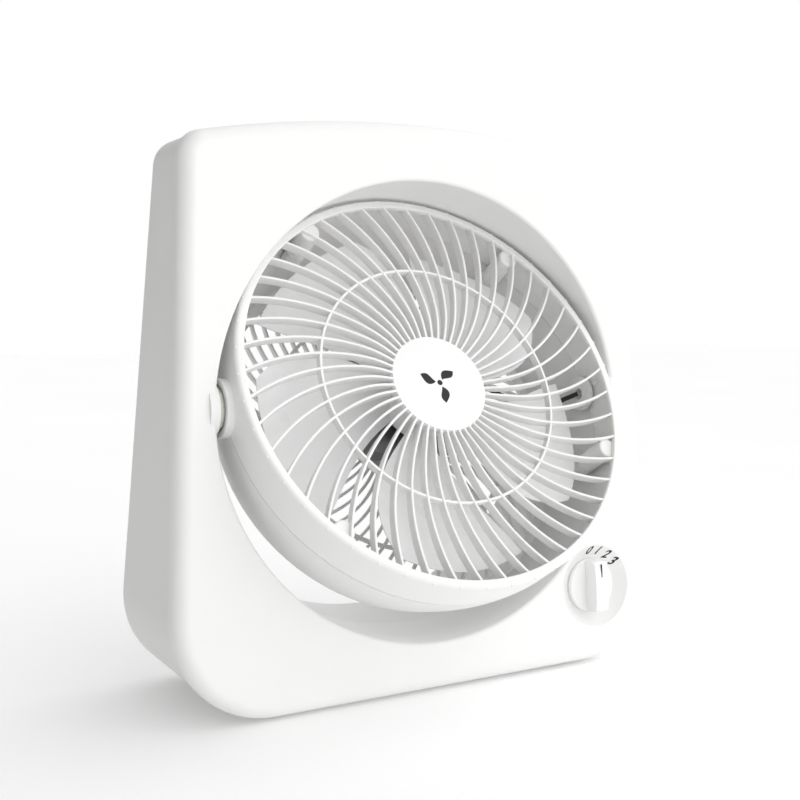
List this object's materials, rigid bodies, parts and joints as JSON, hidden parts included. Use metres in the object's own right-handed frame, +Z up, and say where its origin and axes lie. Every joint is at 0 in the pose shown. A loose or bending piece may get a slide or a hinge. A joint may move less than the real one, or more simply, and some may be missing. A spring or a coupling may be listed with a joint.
{
  "type": "tilting drum fan",
  "caption": "Table fan with a wedge-shaped box housing and a round drum that tilts on two side pivots, behind a grille of curved ribs, with a rotary speed knob.",
  "frame": {"origin": "on the table, under the middle of the whole fan", "axes": "+Z up, -Y out of the front, +X to the right seen from the front"},
  "size_m": [0.3248, 0.1786, 0.333],
  "materials": {
    "front_shell": "satin moulded plastic, white",
    "rear_shell": "satin moulded plastic, white",
    "grille_plastic": "satin moulded plastic, white",
    "guard_plastic": "satin moulded plastic, white",
    "badge_plastic": "smooth moulded plastic with a printed grey symbol",
    "blade_plastic": "smooth moulded plastic, pale grey",
    "knob_plastic": "satin moulded plastic, white",
    "nylon": "matt nylon",
    "black_plastic": "matt moulded plastic",
    "lead_sheath": "soft sheath",
    "foot_rubber": "matt rubber",
    "zinc_steel": "zinc plated",
    "shaft_steel": "ground",
    "lamination_steel": "varnished laminations",
    "copper_winding": "enamelled copper wire"
  },
  "bodies": {
    "base": {"front_panel": "front_shell", "rear_housing": "rear_shell", "foot_1": "foot_rubber", "foot_2": "foot_rubber", "foot_3": "foot_rubber", "foot_4": "foot_rubber", "housing_screw_1": "zinc_steel", "housing_screw_2": "zinc_steel", "housing_screw_3": "zinc_steel", "housing_screw_4": "zinc_steel", "cord_gland": "nylon", "switch_body": "black_plastic", "switch_nut": "zinc_steel", "switch_lead": "lead_sheath", "pivot_bush_left": "nylon", "pivot_bush_right": "nylon", "pivot_spring_left": "zinc_steel", "pivot_spring_right": "zinc_steel"},
    "head": {"front_grille": "grille_plastic", "centre_badge": "badge_plastic", "rear_grille": "guard_plastic", "grille_screw_1": "zinc_steel", "grille_screw_2": "zinc_steel", "grille_screw_3": "zinc_steel", "grille_screw_4": "zinc_steel", "motor_core": "lamination_steel", "motor_coil": "copper_winding", "motor_end_front": "zinc_steel", "motor_end_rear": "zinc_steel", "motor_bracket": "guard_plastic", "motor_bolt_left": "zinc_steel", "motor_bolt_right": "zinc_steel", "bracket_screw_left": "zinc_steel", "bracket_screw_right": "zinc_steel", "pivot_pin_left": "guard_plastic", "pivot_pin_right": "guard_plastic", "pivot_nut_left": "zinc_steel", "pivot_nut_right": "zinc_steel", "motor_lead": "lead_sheath"},
    "fan": {"fan_blade": "blade_plastic", "blade_nut": "blade_plastic", "motor_shaft": "shaft_steel"},
    "knob_body": {"knob": "knob_plastic", "switch_shaft": "nylon"}
  },
  "joints": [
    {"name": "head_tilt", "type": "hinge", "parent": "base", "child": "head", "pos_m": [0, -0.00615, 0.17012], "axis": [1, 0, 0], "range_deg": [-20, 65]},
    {"name": "fan_spin", "type": "hinge", "parent": "head", "child": "fan", "pos_m": [0, -0.00615, 0.17012], "axis": [0, -0.8704, 0.4924], "continuous": true},
    {"name": "knob_turn", "type": "hinge", "parent": "base", "child": "knob_body", "pos_m": [0.1145, -0.03086, 0.04952], "axis": [0, -0.9962, 0.0872], "range_deg": [-54, 0]}
  ]
}
